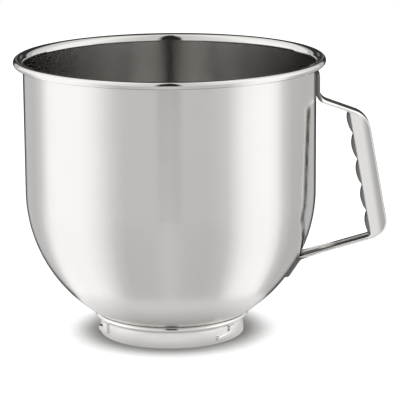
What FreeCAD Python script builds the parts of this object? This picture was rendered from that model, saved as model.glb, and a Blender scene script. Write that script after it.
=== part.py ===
import FreeCAD, Part
import math
import os

import Sketcher
from FreeCAD import Vector

# A stand mixer bowl of polished stainless steel: a deep round-bottomed bowl with a rolled rim,
# a welded foot ring with three embossed twist-lock ramps, and a handle stamped as one channel
# with a scalloped finger strip. The origin is on the bowl's axis in the plane that the foot
# stands on, +Z is up and the handle stands out along +X.

doc = FreeCAD.newDocument("stand_mixer_bowl")
sheet = doc.addObject("Spreadsheet::Sheet", "sizes")
sizes = {}


def size(alias, value, note):
    """Enter one driving size, in millimetres or degrees, in the spreadsheet."""
    row = len(sizes) + 1
    sheet.set("A%d" % row, note)
    sheet.set("B%d" % row, str(value))
    sheet.setAlias("B%d" % row, alias)
    sizes[alias] = value
    return value


# Bowl
wall_radius = size("wall_radius", 105.0, "outside radius of the straight wall")
bowl_height = size("bowl_height", 202.4, "top of the rim above the foot's underside")
bowl_sheet = size("bowl_sheet", 0.8, "sheet of the bowl")
side_inset = size("side_inset", 0.7, "the side arc's centre stands off the axis by this much")
floor_height = size("floor_height", 3.75, "flat bottom above the foot's underside")
floor_lift = size("floor_lift", 2.75, "flat bottom above the side arc's lowest point")
knuckle_radius = size("knuckle_radius", 43.0, "arc between the side arc and the flat bottom")

# Rolled rim
flare_radius = size("flare_radius", 5.0, "inside of the rim, from the wall to the top line")
curl_radius = size("curl_radius", 2.7, "outside of the rim, from the top line under the bead")
curl_gap = size("curl_gap", 0.3, "between the curl's end and the wall")

# Foot ring
ring_radius = size("ring_radius", 52.3, "outside radius of the foot ring's wall")
ring_sheet = size("ring_sheet", 1.0, "sheet of the foot ring")
ring_bend = size("ring_bend", 1.2, "outside bend between the ring's wall and its flange")
ring_reach = size("ring_reach", 4.3, "flange's edge beyond the ring's wall")
ring_hem = size("ring_hem", 2.7, "flange with its edge folded under")
hem_round = size("hem_round", 1.0, "rounding of the folded edge")
ring_edge = size("ring_edge", 0.35, "rounding of the edge that the ring stands on")

# Twist-lock ramps, embossed in the foot ring
ramp_angle = size("ramp_angle", 51.9, "the first ramp's step, from -Y towards +X")
ramp_height = size("ramp_height", 1.9, "how far a ramp stands out of the ring's wall")
ramp_root = size("ramp_root", 4.0, "how deep a ramp's sketch lies behind the ring's face")
ramp_start = size("ramp_start", 1.8, "underside of a ramp's low end")
ramp_nose = size("ramp_nose", 3.8, "height of a ramp's low end")
ramp_under = size("ramp_under", 1.2, "climb of a ramp's underside")
ramp_climb = size("ramp_climb", 1.8, "climb of a ramp's upper side to the step")
ramp_top = size("ramp_top", 11.0, "upper edge of a ramp behind the step")
ramp_run = size("ramp_run", 12.4, "from a ramp's low end to the step")
ramp_stop = size("ramp_stop", 6.6, "from the step to a ramp's high end")
ramp_round = size("ramp_round", 1.3, "rounding of a ramp's outline")
ramp_soft = size("ramp_soft", 1.1, "rounding of a ramp's raised edge")

# Handle
handle_sheet = size("handle_sheet", 1.2, "sheet of the handle")
strap_width = size("strap_width", 16.1, "width of the channel")
flare_width = size("flare_width", 20.0, "width of the channel where it is widest, near the bowl")
flare_reach = size("flare_reach", 16.0, "the flare begins this far outside the wall")
flare_depth = size("flare_depth", 10.0, "the flare is full this far inside the wall")
strap_depth = size("strap_depth", 2.5, "depth of the channel on the straps and tabs")
seat_depth = size("seat_depth", 0.8, "trimmed off the flanges so that they fit the bowl")
fold_radius = size("fold_radius", 1.9, "outside of the folds between web and flanges")
edge_radius = size("edge_radius", 0.9, "outside of the flanges' free edges and return lips")
tab_top = size("tab_top", 190.6, "upper tab's end above the foot's underside")
tab_round = size("tab_round", 4.0, "rounding of the tabs' corners")
strap_top = size("strap_top", 172.1, "where the top strap's face meets the upper tab's face")
strap_drop = size("strap_drop", 12.6, "fall of the top strap to the grip's upper corner")
grip_upper_reach = size("grip_upper_reach", 37.4, "grip's upper corner beyond the wall")
grip_lower_reach = size("grip_lower_reach", 53.1, "grip's lower corner beyond the wall")
grip_height = size("grip_height", 87.6, "between the grip's corners")
grip_depth = size("grip_depth", 13.2, "depth of the channel on the grip")
lower_slope = size("lower_slope", 16.0, "bottom strap's climb towards the grip, degrees")
lower_tab = size("lower_tab", 17.5, "length of the lower tab along the bowl")
upper_bend = size("upper_bend", 7.5, "face radius between the upper tab and the top strap")
lower_bend = size("lower_bend", 4.5, "face radius between the bottom strap and the lower tab")
upper_corner = size("upper_corner", 17.3, "face radius at the grip's upper corner")
lower_corner = size("lower_corner", 13.7, "face radius at the grip's lower corner")
upper_notch = size("upper_notch", 1.2, "flange edge's corner under the top strap")
lower_notch = size("lower_notch", 3.0, "flange edge's corner above the bottom strap")
lip_width = size("lip_width", 3.2, "return lip along each flange of the grip")
lip_end = size("lip_end", 3.4, "the return lips stop this far from the straps' flange edges")

# Finger strip
strip_sheet = size("strip_sheet", 1.0, "sheet of the finger strip")
strip_clearance = size("strip_clearance", 0.3, "between the strip and the channel around it")
first_lobe = size("first_lobe", 0.868, "upper lobe's length in finger pitches")
last_lobe = size("last_lobe", 0.916, "lower lobe's length in finger pitches")
lobe_height = size("lobe_height", 2.5, "lobes above the valleys")
valley_radius = size("valley_radius", 2.5, "bottom of each finger valley")
strip_round = size("strip_round", 1.5, "rounding of the lobes' side edges")

RAMPS = 3
LOBES = 5
TOUCH = 0.02

doc.recompute()


# Tools for the sketches and features

def origin_of(body, role):
    """The plane or axis of a body's origin with the given role."""
    return next(f for f in body.Origin.OriginFeatures if f.Role == role)


def new_body(name):
    """An empty body."""
    return doc.addObject("PartDesign::Body", name)


def new_sketch(body, name, role="XZ_Plane"):
    """An empty sketch on one of the body's origin planes."""
    sketch = body.newObject("Sketcher::SketchObject", name)
    sketch.AttachmentSupport = [(origin_of(body, role), "")]
    sketch.MapMode = "FlatFace"
    return sketch


def add_line(sketch, start, end, guide=False):
    """A line in a sketch, from one (x, y) to another, or only a guide line."""
    return sketch.addGeometry(Part.LineSegment(Vector(*start, 0), Vector(*end, 0)), guide)


def add_arc(sketch, centre, radius, start, end):
    """An arc in a sketch, anticlockwise from angle start to angle end, in radians."""
    circle = Part.Circle(Vector(*centre, 0), Vector(0, 0, 1), radius)
    return sketch.addGeometry(Part.ArcOfCircle(circle, start, end), False)


def tie(sketch, kind, *places):
    """A geometric constraint."""
    sketch.addConstraint(Sketcher.Constraint(kind, *places))


def bind(sketch, kind, places, expression):
    """A dimension that follows an expression of the spreadsheet's sizes."""
    value = FreeCAD.Units.Quantity(str(evaluate(expression))).Value
    if kind == "Angle":
        value = math.radians(value)
    index = sketch.addConstraint(Sketcher.Constraint(kind, *places, value))
    sketch.setExpression("Constraints[%d]" % index, expression)


def evaluate(expression):
    """The number that an expression of the spreadsheet's sizes gives now."""
    return sheet.evalExpression(expression.replace("sizes.", ""))


def polygon(sketch, points):
    """A closed run of lines, joined end to start."""
    count = len(points)
    lines = [add_line(sketch, points[i], points[(i + 1) % count]) for i in range(count)]
    for i in range(count):
        tie(sketch, "Coincident", lines[i], 2, lines[(i + 1) % count], 1)
    return lines


def pin_point(sketch, line, end, x_expression, y_expression):
    """Dimension one end of a line from the sketch's origin along both axes."""
    bind(sketch, "DistanceX", (-1, 1, line, end), x_expression)
    bind(sketch, "DistanceY", (-1, 1, line, end), y_expression)


def revolve(body, sketch, name, kind="PartDesign::Revolution"):
    """Turn a sketch once round its vertical axis."""
    feature = body.newObject(kind, name)
    feature.Profile = sketch
    feature.ReferenceAxis = (sketch, ["V_Axis"])
    feature.Angle = 360
    sketch.Visibility = False
    doc.recompute()
    return feature


def pad_both_ways(body, sketch, name, expression):
    """Pad a sketch evenly to both sides, to a total width."""
    pad = body.newObject("PartDesign::Pad", name)
    pad.Profile = sketch
    pad.Midplane = True
    pad.setExpression("Length", expression)
    doc.recompute()
    return pad


def round_edges(body, name, expression, chosen):
    """Fillet the edges of the body's last feature that a test picks."""
    base = body.Tip
    names = ["Edge%d" % (i + 1) for i, edge in enumerate(base.Shape.Edges) if chosen(edge)]
    fillet = body.newObject("PartDesign::Fillet", name)
    fillet.Base = (base, names)
    fillet.setExpression("Radius", expression)
    doc.recompute()
    return fillet


def runs_along_y(edge):
    """A test for straight edges along Y."""
    ends = edge.Vertexes
    return len(ends) == 2 and math.hypot(ends[0].X - ends[1].X, ends[0].Z - ends[1].Z) < TOUCH


def near(vertex, point):
    """Whether a vertex lies at an (x, z), seen along Y."""
    return math.hypot(vertex.X - point[0], vertex.Z - point[1]) < TOUCH


def joins(a, b):
    """A test for edges that run between two (x, z) points, seen along Y."""
    def test(edge):
        ends = edge.Vertexes
        return len(ends) == 2 and (
            (near(ends[0], a) and near(ends[1], b)) or (near(ends[0], b) and near(ends[1], a)))
    return test


def lies_on(a, b):
    """A test for side edges that lie on the line through two (x, z) points."""
    d = toward(a, b)

    def test(edge):
        ends = edge.Vertexes
        off = [(v.X - a[0]) * d[1] - (v.Z - a[1]) * d[0] for v in ends]
        level = len(ends) == 2 and abs(ends[0].Y - ends[1].Y) < TOUCH
        return level and all(abs(value) < TOUCH for value in off)
    return test


def crosses(a, b):
    """A test for edges that cross a plain end between two (x, z) points, whole or in parts."""
    d = toward(a, b)
    length = math.dist(a, b)

    def test(edge):
        ends = [(v.X - a[0], v.Z - a[1]) for v in edge.Vertexes]
        off = [x * d[1] - z * d[0] for x, z in ends]
        along = [x * d[0] + z * d[1] for x, z in ends]
        inside = all(-TOUCH < value < length + TOUCH for value in along)
        return inside and all(abs(value) < TOUCH for value in off) and not runs_along_y(edge)
    return test


def meet(p, d, q, e):
    """Where the line through p along d meets the line through q along e."""
    k = ((q[0] - p[0]) * e[1] - (q[1] - p[1]) * e[0]) / (d[0] * e[1] - d[1] * e[0])
    return (p[0] + k * d[0], p[1] + k * d[1])


def toward(p, q):
    """Unit vector from p to q."""
    length = math.hypot(q[0] - p[0], q[1] - p[1])
    return ((q[0] - p[0]) / length, (q[1] - p[1]) / length)


def shifted(p, d, offset):
    """A point moved square to a direction, to its right."""
    return (p[0] + d[1] * offset, p[1] - d[0] * offset)


# The bowl's outline, used for its outside, its inside and the seats of the pieces on it

side_radius = wall_radius - side_inset
shoulder = floor_height - floor_lift + side_radius
SIDE_RADIUS = "sizes.wall_radius - sizes.side_inset"
SHOULDER = "sizes.floor_height - sizes.floor_lift + sizes.wall_radius - sizes.side_inset"


def bowl_outline(sketch, inset, inset_text, top, top_text):
    """Half the section of a solid bowl, drawn inside the outer face by the inset."""
    side = side_radius - inset
    knuckle = knuckle_radius - inset
    low = floor_height + inset
    knuckle_z = low + knuckle
    knuckle_x = side_inset + math.sqrt((side - knuckle) ** 2 - (shoulder - knuckle_z) ** 2)
    turn = math.atan2(knuckle_z - shoulder, knuckle_x - side_inset)
    wall = side_inset + side
    axis = add_line(sketch, (0, top), (0, low))
    floor = add_line(sketch, (0, low), (knuckle_x, low))
    bend = add_arc(sketch, (knuckle_x, knuckle_z), knuckle, -math.pi / 2, turn)
    curve = add_arc(sketch, (side_inset, shoulder), side, turn, 0)
    straight = add_line(sketch, (wall, shoulder), (wall, top))
    brim = add_line(sketch, (wall, top), (0, top))
    tie(sketch, "Coincident", axis, 2, floor, 1)
    tie(sketch, "Tangent", floor, 2, bend, 1)
    tie(sketch, "Tangent", bend, 2, curve, 1)
    tie(sketch, "Tangent", curve, 2, straight, 1)
    tie(sketch, "Coincident", straight, 2, brim, 1)
    tie(sketch, "Coincident", brim, 2, axis, 1)
    tie(sketch, "Horizontal", floor)
    tie(sketch, "Vertical", straight)
    tie(sketch, "Horizontal", brim)
    tie(sketch, "PointOnObject", axis, 1, -2)
    tie(sketch, "PointOnObject", axis, 2, -2)
    bind(sketch, "DistanceX", (-1, 1, straight, 2), "sizes.wall_radius" + inset_text)
    bind(sketch, "DistanceY", (-1, 1, straight, 2), top_text)
    bind(sketch, "Radius", (curve,), SIDE_RADIUS + inset_text)
    bind(sketch, "Radius", (bend,), "sizes.knuckle_radius" + inset_text)
    bind(sketch, "DistanceY", (-1, 1, curve, 3), SHOULDER)
    bind(sketch, "DistanceY", (-1, 1, axis, 2),
         "sizes.floor_height" + inset_text.replace("-", "+"))


# Bowl: turned sheet with a rolled rim

flare_start = bowl_height - flare_radius
FLARE_START = "sizes.bowl_height - sizes.flare_radius"


def make_bowl():
    """The bowl, one sheet from its flat bottom to the curled rim."""
    body = new_body("bowl")
    outside = new_sketch(body, "bowl_outside")
    bowl_outline(outside, 0.0, "", flare_start, FLARE_START)
    revolve(body, outside, "bowl_form")
    inside = new_sketch(body, "bowl_inside")
    bowl_outline(inside, bowl_sheet, " - sizes.bowl_sheet", flare_start, FLARE_START)
    revolve(body, inside, "bowl_cavity", "PartDesign::Groove")
    rim = new_sketch(body, "rim_section")
    inner = wall_radius - bowl_sheet
    centre = inner + flare_radius
    curl_z = bowl_height - curl_radius
    thin = curl_radius - bowl_sheet
    half = math.pi / 2
    base = add_line(rim, (inner, flare_start), (wall_radius, flare_start))
    flare_in = add_arc(rim, (centre, flare_start), flare_radius - bowl_sheet, half, 2 * half)
    curl_in = add_arc(rim, (centre, curl_z), thin, -half, half)
    hem_top = add_line(rim, (centre, curl_z - thin), (wall_radius + curl_gap, curl_z - thin))
    hem_end = add_line(rim, (wall_radius + curl_gap, curl_z - thin),
                       (wall_radius + curl_gap, curl_z - curl_radius))
    hem_low = add_line(rim, (wall_radius + curl_gap, curl_z - curl_radius),
                       (centre, curl_z - curl_radius))
    curl_out = add_arc(rim, (centre, curl_z), curl_radius, -half, half)
    flare_out = add_arc(rim, (centre, flare_start), flare_radius, half, 2 * half)
    tie(rim, "Coincident", base, 2, flare_in, 2)
    tie(rim, "Tangent", flare_in, 1, curl_in, 2)
    tie(rim, "Tangent", curl_in, 1, hem_top, 1)
    tie(rim, "Coincident", hem_top, 2, hem_end, 1)
    tie(rim, "Coincident", hem_end, 2, hem_low, 1)
    tie(rim, "Tangent", hem_low, 2, curl_out, 1)
    tie(rim, "Tangent", curl_out, 2, flare_out, 1)
    tie(rim, "Coincident", flare_out, 2, base, 1)
    tie(rim, "Horizontal", base)
    tie(rim, "Horizontal", hem_top)
    tie(rim, "Horizontal", hem_low)
    tie(rim, "Vertical", hem_end)
    tie(rim, "Coincident", flare_in, 3, flare_out, 3)
    tie(rim, "Coincident", curl_in, 3, curl_out, 3)
    tie(rim, "Horizontal", base, 1, flare_out, 3)
    tie(rim, "Vertical", curl_out, 3, flare_out, 3)
    bind(rim, "DistanceX", (-1, 1, base, 2), "sizes.wall_radius")
    bind(rim, "DistanceX", (base, 1, base, 2), "sizes.bowl_sheet")
    bind(rim, "DistanceY", (-1, 1, base, 1), FLARE_START)
    bind(rim, "Radius", (flare_out,), "sizes.flare_radius")
    bind(rim, "Radius", (curl_out,), "sizes.curl_radius")
    bind(rim, "DistanceX", (base, 2, hem_end, 1), "sizes.curl_gap")
    revolve(body, rim, "rolled_rim")
    return body


# Foot ring: a wall with a flange that follows the bowl, and three embossed ramps

def flange_corners():
    """The flange edge's lower and upper corner in the ring's section."""
    edge = -math.acos((ring_radius + ring_reach - side_inset) / (side_radius + ring_hem))
    return [(side_inset + radius * math.cos(edge), shoulder + radius * math.sin(edge))
            for radius in (side_radius + ring_hem, side_radius)]


def ring_section(body):
    """The ring's section: a wall of plain sheet and a hemmed flange against the bowl."""
    sketch = new_sketch(body, "ring_section")
    centre = (side_inset, shoulder)
    bend_x = ring_radius + ring_bend
    outer = side_radius + ring_hem
    inner_wall = ring_radius - ring_sheet
    wide_bend = ring_bend + ring_sheet

    def bend_height(far):
        """Height of a bend's centre that lies so far from the side arc's centre."""
        return shoulder - math.sqrt(far ** 2 - (bend_x - side_inset) ** 2)

    low_z = bend_height(outer + ring_bend)
    high_z = bend_height(side_radius + wide_bend)
    low_turn = math.atan2(low_z - shoulder, bend_x - side_inset)
    high_turn = math.atan2(high_z - shoulder, bend_x - side_inset)
    low_corner, high_corner = flange_corners()
    edge = math.atan2(low_corner[1] - shoulder, low_corner[0] - side_inset)
    foot = add_line(sketch, (inner_wall, 0), (ring_radius, 0))
    wall_out = add_line(sketch, (ring_radius, 0), (ring_radius, low_z))
    bend_out = add_arc(sketch, (bend_x, low_z), ring_bend, low_turn + math.pi, math.pi)
    flange_low = add_arc(sketch, centre, outer, low_turn, edge)
    flange_end = add_line(sketch, low_corner, high_corner)
    seat = add_arc(sketch, centre, side_radius, high_turn, edge)
    bend_in = add_arc(sketch, (bend_x, high_z), wide_bend, high_turn + math.pi, math.pi)
    wall_in = add_line(sketch, (inner_wall, high_z), (inner_wall, 0))
    tie(sketch, "Coincident", foot, 2, wall_out, 1)
    tie(sketch, "Tangent", wall_out, 2, bend_out, 2)
    tie(sketch, "Tangent", bend_out, 1, flange_low, 1)
    tie(sketch, "Coincident", flange_low, 2, flange_end, 1)
    tie(sketch, "Coincident", flange_end, 2, seat, 2)
    tie(sketch, "Tangent", seat, 1, bend_in, 1)
    tie(sketch, "Tangent", bend_in, 2, wall_in, 1)
    tie(sketch, "Coincident", wall_in, 2, foot, 1)
    tie(sketch, "Vertical", wall_out)
    tie(sketch, "Vertical", wall_in)
    tie(sketch, "PointOnObject", foot, 1, -1)
    tie(sketch, "PointOnObject", foot, 2, -1)
    tie(sketch, "Coincident", flange_low, 3, seat, 3)
    tie(sketch, "PointOnObject", seat, 3, flange_end)
    bind(sketch, "DistanceX", (-1, 1, foot, 2), "sizes.ring_radius")
    bind(sketch, "DistanceX", (foot, 1, foot, 2), "sizes.ring_sheet")
    bind(sketch, "DistanceX", (-1, 1, seat, 3), "sizes.side_inset")
    bind(sketch, "DistanceY", (-1, 1, seat, 3), SHOULDER)
    bind(sketch, "Radius", (seat,), SIDE_RADIUS)
    bind(sketch, "Radius", (flange_low,), SIDE_RADIUS + " + sizes.ring_hem")
    bind(sketch, "Radius", (bend_out,), "sizes.ring_bend")
    bind(sketch, "Radius", (bend_in,), "sizes.ring_bend + sizes.ring_sheet")
    bind(sketch, "DistanceX", (foot, 2, flange_end, 1), "sizes.ring_reach")
    return sketch


def ramp_outline(sketch, inset, inset_text):
    """A ramp seen square on: a wedge that climbs to a step and a high end."""
    raised_text = inset_text.replace("-", "+")
    length = ramp_run + ramp_stop
    left = -ramp_run + inset
    step = inset
    right = ramp_stop - inset
    top = ramp_top - inset

    def under(x):
        return ramp_start + inset + (x + ramp_run) * ramp_under / length

    def over(x):
        return ramp_start + ramp_nose - inset + (x + ramp_run) * ramp_climb / ramp_run

    points = [(left, under(left)), (right, under(right)), (right, top), (step, top),
              (step, over(step)), (left, over(left))]
    lines = polygon(sketch, points)
    for line in (lines[1], lines[3], lines[5]):
        tie(sketch, "Vertical", line)
    tie(sketch, "Horizontal", lines[2])
    under_text = "sizes.ramp_under / (sizes.ramp_run + sizes.ramp_stop)"
    over_text = "sizes.ramp_climb / sizes.ramp_run"
    start_text = "sizes.ramp_start" + raised_text
    nose_text = "sizes.ramp_start + sizes.ramp_nose" + inset_text
    inset_run = "(0%s)" % raised_text
    bind(sketch, "DistanceX", (lines[0], 1, -1, 1), "sizes.ramp_run" + inset_text)
    bind(sketch, "DistanceX", (-1, 1, lines[1], 1), "sizes.ramp_stop" + inset_text)
    bind(sketch, "DistanceX", (-1, 1, lines[3], 1), inset_run)
    bind(sketch, "DistanceY", (-1, 1, lines[2], 1), "sizes.ramp_top" + inset_text)
    bind(sketch, "DistanceY", (-1, 1, lines[0], 1),
         "%s + %s * %s" % (start_text, inset_run, under_text))
    bind(sketch, "DistanceY", (-1, 1, lines[1], 1),
         "%s + (sizes.ramp_run + sizes.ramp_stop%s) * %s" % (start_text, inset_text, under_text))
    bind(sketch, "DistanceY", (-1, 1, lines[5], 1),
         "%s + %s * %s" % (nose_text, inset_run, over_text))
    bind(sketch, "DistanceY", (-1, 1, lines[4], 1),
         "%s + (sizes.ramp_run%s) * %s" % (nose_text, raised_text, over_text))


def turned_cut(body, name, low, low_text, high, high_text):
    """Cut the band between two radii, all round and past the ramps' height."""
    sketch = new_sketch(body, name + "_section")
    lines = polygon(sketch, [(low, 0), (high, 0), (high, 2 * ramp_top), (low, 2 * ramp_top)])
    for line in (lines[0], lines[2]):
        tie(sketch, "Horizontal", line)
    for line in (lines[1], lines[3]):
        tie(sketch, "Vertical", line)
    pin_point(sketch, lines[0], 1, low_text, "0")
    bind(sketch, "DistanceX", (-1, 1, lines[0], 2), high_text)
    bind(sketch, "DistanceY", (lines[1], 1, lines[1], 2), "2 * sizes.ramp_top")
    revolve(body, sketch, name, "PartDesign::Groove")


def ramp_block(name, reach, reach_text, inset, inset_text):
    """One ramp as a block, from behind the ring's wall out to a radius."""
    body = new_body(name)
    body.AllowCompound = True
    sketch = new_sketch(body, name + "_outline")
    sketch.setExpression("AttachmentOffset.Base.z", "sizes.ring_radius - sizes.ramp_root")
    ramp_outline(sketch, inset, inset_text)
    pad = body.newObject("PartDesign::Pad", name + "_pad")
    pad.Profile = sketch
    pad.setExpression("Length", "sizes.ramp_height + sizes.ramp_root")
    doc.recompute()
    turned_cut(body, name + "_face", reach, reach_text, reach + ramp_run + ramp_stop,
               reach_text + " + sizes.ramp_run + sizes.ramp_stop")
    return body


def pattern_round(body, name, count):
    """Repeat the whole body round the bowl's axis."""
    pattern = body.newObject("PartDesign::PolarPattern", name)
    pattern.TransformMode = "Whole shape"
    pattern.Axis = (origin_of(body, "Z_Axis"), [""])
    pattern.Angle = 360
    pattern.Occurrences = count
    body.Tip = pattern
    body.Placement.Rotation = FreeCAD.Rotation(Vector(0, 0, 1), ramp_angle)
    body.setExpression("Placement.Rotation.Angle", "sizes.ramp_angle")
    doc.recompute()


def make_base_ring():
    """The foot ring with its ramps raised outside and sunk inside."""
    ring = new_body("ring_wall")
    revolve(ring, ring_section(ring), "ring_form")
    round_edges(ring, "foot_edge", "sizes.ring_edge",
                lambda edge: len(edge.Vertexes) == 1 and abs(edge.Vertexes[0].Z) < TOUCH
                and abs(edge.Vertexes[0].X) < ring_radius - TOUCH)
    for corner, name in zip(flange_corners(), ("lower", "upper")):
        round_edges(ring, "flange_%s_edge" % name, "sizes.hem_round",
                    lambda edge: len(edge.Vertexes) == 1 and near(edge.Vertexes[0], corner))
    face = ring_radius + ramp_height
    raised = ramp_block("ramp_raised", face, "sizes.ring_radius + sizes.ramp_height", 0.0, "")
    round_edges(raised, "ramp_corners", "sizes.ramp_round", runs_along_y)
    round_edges(raised, "ramp_raised_edge", "sizes.ramp_soft",
                lambda edge: all(abs(math.hypot(v.X, v.Y) - face) < TOUCH for v in edge.Vertexes))
    turned_cut(raised, "ramp_back", 0, "0", ring_radius - ring_sheet / 2,
               "sizes.ring_radius - sizes.ring_sheet / 2")
    pattern_round(raised, "ramps_raised", RAMPS)
    sunk = ramp_block("ramp_sunk", face - ring_sheet,
                      "sizes.ring_radius + sizes.ramp_height - sizes.ring_sheet",
                      ring_sheet, " - sizes.ring_sheet")
    pattern_round(sunk, "ramps_sunk", RAMPS)
    solid = join("ring_with_ramps", "Part::Fuse", ring, raised)
    return join("base_ring", "Part::Cut", solid, sunk)


# Handle: one stamped channel whose side view is a chain of straight runs and bends


def web_points():
    """The web's outer face in side view, from the upper tab's end to the lower tab's end."""
    tab_x = wall_radius + strap_depth
    upper = (wall_radius + grip_upper_reach, strap_top - strap_drop)
    lower = (wall_radius + grip_lower_reach, strap_top - strap_drop - grip_height)
    slope = math.radians(lower_slope)
    d = (-math.cos(slope), -math.sin(slope))
    far = side_radius + strap_depth
    offset = (lower[0] - side_inset, lower[1] - shoulder)
    along = offset[0] * d[0] + offset[1] * d[1]
    reach = -along - math.sqrt(along ** 2 - offset[0] ** 2 - offset[1] ** 2 + far ** 2)
    bend = (lower[0] + reach * d[0], lower[1] + reach * d[1])
    turn = math.atan2(bend[1] - shoulder, bend[0] - side_inset)
    turn -= 2 * math.asin(lower_tab / (2 * far))
    end = (side_inset + far * math.cos(turn), shoulder + far * math.sin(turn))
    return [(tab_x, tab_top), (tab_x, strap_top), upper, lower, bend, end]


def inner_points(offsets, end_offset=0.0):
    """Corners of the chain of lines that run inside the web's lines by the offsets."""
    web = web_points()
    ways = [toward(web[i], web[i + 1]) for i in range(5)]
    starts = [shifted(web[i], ways[i], offsets[i]) for i in range(5)]
    middle = [meet(starts[i], ways[i], starts[i + 1], ways[i + 1]) for i in range(4)]
    first = (starts[0][0] + end_offset * ways[0][0], starts[0][1] + end_offset * ways[0][1])
    last = shifted(web[5], ways[4], offsets[4])
    last = (last[0] - end_offset * ways[4][0], last[1] - end_offset * ways[4][1])
    return [first] + middle + [last]


def web_lines(sketch, guide):
    """Draw and dimension the web's outer face as five joined lines."""
    web = web_points()
    lines = [add_line(sketch, web[i], web[i + 1], guide) for i in range(5)]
    for i in range(4):
        tie(sketch, "Coincident", lines[i], 2, lines[i + 1], 1)
    centre = sketch.addGeometry(Part.Point(Vector(side_inset, shoulder, 0)), True)
    bind(sketch, "DistanceX", (-1, 1, centre, 1), "sizes.side_inset")
    bind(sketch, "DistanceY", (-1, 1, centre, 1), SHOULDER)
    tie(sketch, "Vertical", lines[0])
    pin_point(sketch, lines[0], 1, "sizes.wall_radius + sizes.strap_depth", "sizes.tab_top")
    bind(sketch, "DistanceY", (-1, 1, lines[0], 2), "sizes.strap_top")
    pin_point(sketch, lines[1], 2, "sizes.wall_radius + sizes.grip_upper_reach",
              "sizes.strap_top - sizes.strap_drop")
    pin_point(sketch, lines[2], 2, "sizes.wall_radius + sizes.grip_lower_reach",
              "sizes.strap_top - sizes.strap_drop - sizes.grip_height")
    bind(sketch, "Angle", (lines[3],), "sizes.lower_slope + 180")
    for line in (lines[3], lines[4]):
        bind(sketch, "Distance", (line, 2, centre, 1), SIDE_RADIUS + " + sizes.strap_depth")
    bind(sketch, "Distance", (lines[4],), "sizes.lower_tab")
    return lines


def offset_line(sketch, line, guide_line, expression):
    """Hold a line parallel to a guide line at a distance."""
    tie(sketch, "Parallel", line, guide_line)
    bind(sketch, "Distance", (line, 1, guide_line), expression)


def side_outline(body):
    """The handle's side view as a solid: web, flanges and the part that meets the bowl."""
    sketch = new_sketch(body, "handle_side")
    web = web_lines(sketch, False)
    deep = strap_depth + seat_depth
    inner = inner_points([deep, strap_depth, grip_depth, strap_depth, deep])
    corners = inner[::-1]
    run = [add_line(sketch, web_points()[5], corners[0])]
    run += [add_line(sketch, corners[i], corners[i + 1]) for i in range(5)]
    run.append(add_line(sketch, corners[5], web_points()[0]))
    chain = [web[4]] + run + [web[0]]
    for i in range(len(chain) - 1):
        tie(sketch, "Coincident", chain[i], 2, chain[i + 1], 1)
    tie(sketch, "Perpendicular", run[0], web[4])
    tie(sketch, "Perpendicular", run[6], web[0])
    offset_line(sketch, run[1], web[4], "sizes.strap_depth + sizes.seat_depth")
    offset_line(sketch, run[2], web[3], "sizes.strap_depth")
    offset_line(sketch, run[3], web[2], "sizes.grip_depth")
    offset_line(sketch, run[4], web[1], "sizes.strap_depth")
    offset_line(sketch, run[5], web[0], "sizes.strap_depth + sizes.seat_depth")
    return sketch


def hollow_outline(body):
    """The channel's inside in side view: open along the straps, behind the lips on the grip."""
    sketch = new_sketch(body, "hollow_side")
    web = web_lines(sketch, True)
    sheet_off = [handle_sheet] * 5
    outer = inner_points(sheet_off, handle_sheet)
    open_by = strap_depth + lip_end
    deep = strap_depth + 2 * seat_depth
    inner = inner_points([deep, open_by, grip_depth, open_by, deep], handle_sheet)
    grip = toward(web_points()[2], web_points()[3])
    upper = shifted(inner[2], grip, -handle_sheet)
    lower = shifted(inner[3], grip, -handle_sheet)
    points = outer + [inner[5], inner[4], inner[3], lower, upper, inner[2], inner[1], inner[0]]
    run = polygon(sketch, points)
    for i in range(5):
        offset_line(sketch, run[i], web[i], "sizes.handle_sheet")
    tie(sketch, "Perpendicular", run[5], web[4])
    bind(sketch, "Distance", (run[4], 2, web[4], 2), "sizes.handle_sheet * sqrt(2)")
    offset_line(sketch, run[6], web[4], "sizes.strap_depth + 2 * sizes.seat_depth")
    offset_line(sketch, run[7], web[3], "sizes.strap_depth + sizes.lip_end")
    tie(sketch, "Perpendicular", run[8], web[2])
    offset_line(sketch, run[9], web[2], "sizes.grip_depth - sizes.handle_sheet")
    tie(sketch, "Perpendicular", run[10], web[2])
    offset_line(sketch, run[11], web[1], "sizes.strap_depth + sizes.lip_end")
    offset_line(sketch, run[12], web[0], "sizes.strap_depth + 2 * sizes.seat_depth")
    tie(sketch, "Perpendicular", run[13], web[0])
    bind(sketch, "Distance", (run[0], 1, web[0], 1), "sizes.handle_sheet * sqrt(2)")
    bind(sketch, "Distance", (run[7], 2, web[2]), "sizes.grip_depth")
    bind(sketch, "Distance", (run[11], 1, web[2]), "sizes.grip_depth")
    return sketch, points


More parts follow.
